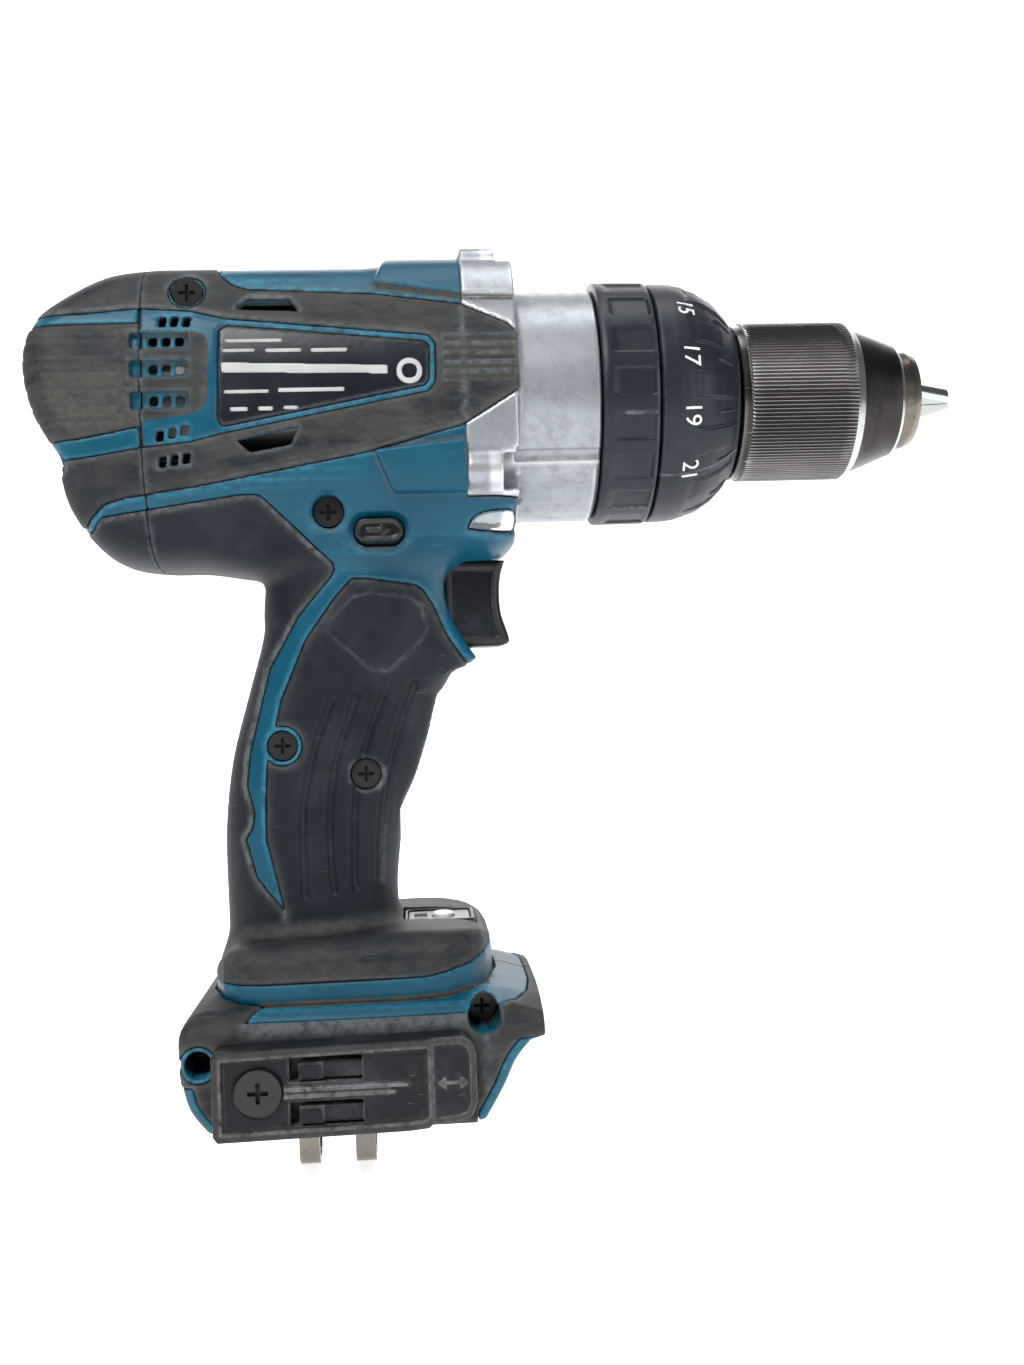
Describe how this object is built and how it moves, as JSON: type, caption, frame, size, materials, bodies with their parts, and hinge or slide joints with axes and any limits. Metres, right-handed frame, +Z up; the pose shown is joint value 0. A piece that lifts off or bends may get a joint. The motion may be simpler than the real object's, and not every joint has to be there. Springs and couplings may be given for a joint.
{
  "type": "cordless hammer driver-drill",
  "caption": "Pistol-grip cordless hammer driver-drill with a keyless chuck, torque and mode rings, trigger, two-speed gearbox, belt hook and bit holder, shown without its battery.",
  "frame": {"origin": "centre of the chuck's nose face on the spindle axis", "axes": "+X along the spindle out of the chuck, +Z up away from the battery foot, +Y to the tool's left side"},
  "size_m": [0.2371, 0.0965, 0.2496],
  "materials": {
    "teal_plastic": "moulded glass-filled nylon, satin",
    "overmould_rubber": "soft overmoulded elastomer, dusty",
    "plate_plastic": "printed plate, satin",
    "screw_steel": "zinc-plated screw",
    "cast_alloy": "die-cast, silver paint, specked",
    "black_plastic": "moulded, satin",
    "gear_steel": "machined",
    "spring_steel": "drawn wire",
    "can_steel": "zinc-plated sheet",
    "magnet_ferrite": "sintered ferrite",
    "brush_carbon": "pressed carbon",
    "heat_sink_alloy": "extruded",
    "lead_insulation": "silicone insulation",
    "lamp_white": "epoxy lamp body",
    "lens_clear": "clear moulded lens",
    "panel_grey": "satin",
    "contact_copper": "copper alloy",
    "hook_steel": "plated strip",
    "armature_steel": "laminated stack with windings",
    "chuck_steel": "turned steel with light rust",
    "sleeve_steel": "blackened knurled steel",
    "jaw_steel": "hardened",
    "ring_plastic": "moulded, satin",
    "button_white": "satin"
  },
  "bodies": {
    "housing": {"housing_right": "teal_plastic", "housing_left": "teal_plastic", "rear_cover": "teal_plastic", "overmould_right": "overmould_rubber", "overmould_left": "overmould_rubber", "rear_cover_rubber": "overmould_rubber", "name_plates": "plate_plastic", "housing_screws": "screw_steel", "gear_case": "cast_alloy", "gear_case_screws": "screw_steel", "gearbox_tube": "black_plastic", "ring_gear_1": "gear_steel", "ring_gear_2": "gear_steel", "clutch_pins": "gear_steel", "clutch_washer": "gear_steel", "clutch_spring": "spring_steel", "hammer_cam": "gear_steel", "bearings": "gear_steel", "motor_can": "can_steel", "magnets": "magnet_ferrite", "brush_holder": "black_plastic", "brushes": "brush_carbon", "brush_springs": "spring_steel", "switch_body": "black_plastic", "trigger_spring": "spring_steel", "motor_controller": "heat_sink_alloy", "lead_wires": "lead_insulation", "lamps": "lamp_white", "lamp_lenses": "lens_clear", "gauge_panel": "panel_grey", "terminal_block": "black_plastic", "terminal_blades": "contact_copper", "bit_holder": "black_plastic", "bit_holder_screw": "screw_steel", "belt_hook": "hook_steel", "belt_hook_screw": "screw_steel"},
    "armature": {"armature": "armature_steel", "commutator": "contact_copper", "fan": "black_plastic", "motor_pinion": "gear_steel"},
    "carrier_1": {"carrier_1": "gear_steel"},
    "planet_1a": {"planet_1a": "gear_steel"},
    "planet_1b": {"planet_1b": "gear_steel"},
    "planet_1c": {"planet_1c": "gear_steel"},
    "planet_2a": {"planet_2a": "gear_steel"},
    "planet_2b": {"planet_2b": "gear_steel"},
    "planet_2c": {"planet_2c": "gear_steel"},
    "spindle": {"spindle": "gear_steel", "chuck_body": "chuck_steel"},
    "sleeve": {"chuck_sleeve": "sleeve_steel", "chuck_nut": "gear_steel"},
    "jaw_1": {"jaw_1": "jaw_steel"},
    "jaw_2": {"jaw_2": "jaw_steel"},
    "jaw_3": {"jaw_3": "jaw_steel"},
    "mode_ring": {"mode_ring": "ring_plastic"},
    "torque_ring": {"torque_ring": "ring_plastic"},
    "trigger": {"trigger": "black_plastic"},
    "reversing_lever": {"reversing_lever": "black_plastic"},
    "speed_slider": {"speed_slider": "black_plastic"},
    "gauge_button": {"gauge_button": "button_white"}
  },
  "joints": [
    {"name": "armature_spin", "type": "hinge", "parent": "housing", "child": "armature", "pos_m": [-0.165, 0, 0], "axis": [1, 0, 0], "continuous": true},
    {"name": "carrier_1_spin", "type": "hinge", "parent": "housing", "child": "carrier_1", "pos_m": [-0.12, 0, 0], "axis": [1, 0, 0], "continuous": true},
    {"name": "planet_1a_spin", "type": "hinge", "parent": "carrier_1", "child": "planet_1a", "pos_m": [-0.1265, 0, -0.0105], "axis": [1, 0, 0], "continuous": true},
    {"name": "planet_1b_spin", "type": "hinge", "parent": "carrier_1", "child": "planet_1b", "pos_m": [-0.1265, 0.00909, 0.00525], "axis": [1, 0, 0], "continuous": true},
    {"name": "planet_1c_spin", "type": "hinge", "parent": "carrier_1", "child": "planet_1c", "pos_m": [-0.1265, -0.00909, 0.00525], "axis": [1, 0, 0], "continuous": true},
    {"name": "spindle_spin", "type": "hinge", "parent": "housing", "child": "spindle", "pos_m": [-0.08, 0, 0], "axis": [1, 0, 0], "continuous": true},
    {"name": "planet_2a_spin", "type": "hinge", "parent": "spindle", "child": "planet_2a", "pos_m": [-0.113, 0, -0.0108], "axis": [1, 0, 0], "continuous": true},
    {"name": "planet_2b_spin", "type": "hinge", "parent": "spindle", "child": "planet_2b", "pos_m": [-0.113, 0.00935, 0.0054], "axis": [1, 0, 0], "continuous": true},
    {"name": "planet_2c_spin", "type": "hinge", "parent": "spindle", "child": "planet_2c", "pos_m": [-0.113, -0.00935, 0.0054], "axis": [1, 0, 0], "continuous": true},
    {"name": "sleeve_turn", "type": "hinge", "parent": "spindle", "child": "sleeve", "pos_m": [-0.028, 0, 0], "axis": [1, 0, 0], "range_deg": [0, 2160]},
    {"name": "jaw_1_slide", "type": "slide", "parent": "spindle", "child": "jaw_1", "axis": [-0.9659, 0, -0.2588], "range_m": [0, 0.024]},
    {"name": "jaw_2_slide", "type": "slide", "parent": "spindle", "child": "jaw_2", "axis": [-0.9659, 0.2241, 0.1294], "range_m": [0, 0.024]},
    {"name": "jaw_3_slide", "type": "slide", "parent": "spindle", "child": "jaw_3", "axis": [-0.9659, -0.2241, 0.1294], "range_m": [0, 0.024]},
    {"name": "mode_ring_turn", "type": "hinge", "parent": "housing", "child": "mode_ring", "pos_m": [-0.08, 0, 0], "axis": [1, 0, 0], "range_deg": [-30, 30]},
    {"name": "torque_ring_turn", "type": "hinge", "parent": "housing", "child": "torque_ring", "pos_m": [-0.062, 0, 0], "axis": [1, 0, 0], "range_deg": [-127, 212]},
    {"name": "trigger_press", "type": "slide", "parent": "housing", "child": "trigger", "axis": [-1, 0, 0], "range_m": [0, 0.007], "stiffness_N_per_m": 900, "springref_m": -0.003, "deforming": ["trigger_spring"]},
    {"name": "reverse_lever_push", "type": "slide", "parent": "housing", "child": "reversing_lever", "axis": [0, 1, 0], "range_m": [-0.003, 0.003]},
    {"name": "speed_slide", "type": "slide", "parent": "housing", "child": "speed_slider", "axis": [1, 0, 0], "range_m": [0, 0.0065]},
    {"name": "gauge_button_press", "type": "slide", "parent": "housing", "child": "gauge_button", "axis": [0, 0, -1], "range_m": [0, 0.0007], "stiffness_N_per_m": 1500, "springref_m": -0.0006}
  ],
  "couplings": [
    {"joint": "carrier_1_spin", "follows": "armature_spin", "ratio": 0.2},
    {"joint": "planet_1a_spin", "follows": "armature_spin", "ratio": -0.53333},
    {"joint": "planet_1b_spin", "follows": "armature_spin", "ratio": -0.53333},
    {"joint": "planet_1c_spin", "follows": "armature_spin", "ratio": -0.53333},
    {"joint": "spindle_spin", "follows": "armature_spin", "ratio": 0.044444},
    {"joint": "planet_2a_spin", "follows": "armature_spin", "ratio": -0.12444},
    {"joint": "planet_2b_spin", "follows": "armature_spin", "ratio": -0.12444},
    {"joint": "planet_2c_spin", "follows": "armature_spin", "ratio": -0.12444},
    {"joint": "jaw_1_slide", "follows": "sleeve_turn", "m_per_rad": 0.00063662},
    {"joint": "jaw_2_slide", "follows": "sleeve_turn", "m_per_rad": 0.00063662},
    {"joint": "jaw_3_slide", "follows": "sleeve_turn", "m_per_rad": 0.00063662}
  ]
}
